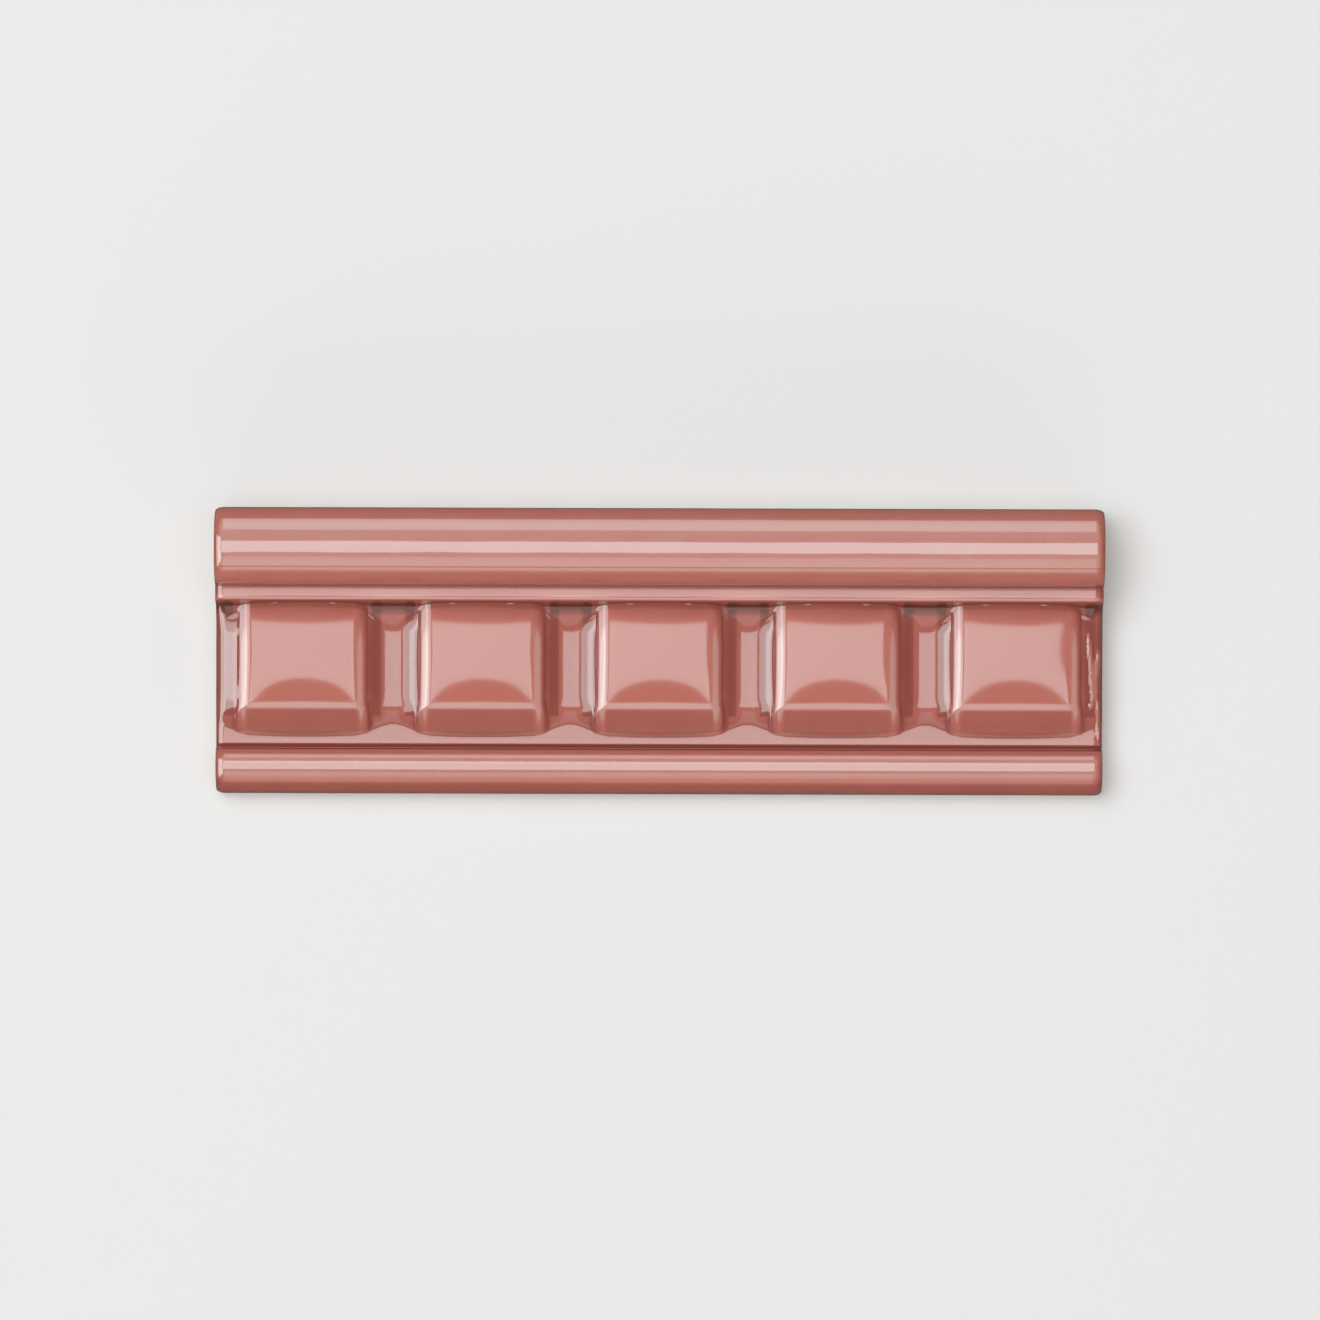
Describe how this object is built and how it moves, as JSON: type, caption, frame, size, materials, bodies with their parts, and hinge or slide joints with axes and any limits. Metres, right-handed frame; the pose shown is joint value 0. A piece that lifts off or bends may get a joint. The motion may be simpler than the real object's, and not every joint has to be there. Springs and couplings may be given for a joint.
{
  "type": "moulding tile",
  "caption": "Glazed ceramic moulding tile with a row of domed dentils between a half-round head roll and a foot bead; plain flat back.",
  "frame": {"origin": "middle of the flat back, where the tile rests", "axes": "+X along the tile's length, +Y across it from the foot bead to the head roll, +Z out of the back to the moulded face"},
  "size_m": [0.152, 0.049, 0.02],
  "materials": {
    "pink_glaze": "glossy transparent pink glaze, darker where it pools in the grooves"
  },
  "bodies": {
    "root": {"moulding_tile": "pink_glaze"}
  },
  "joints": []
}
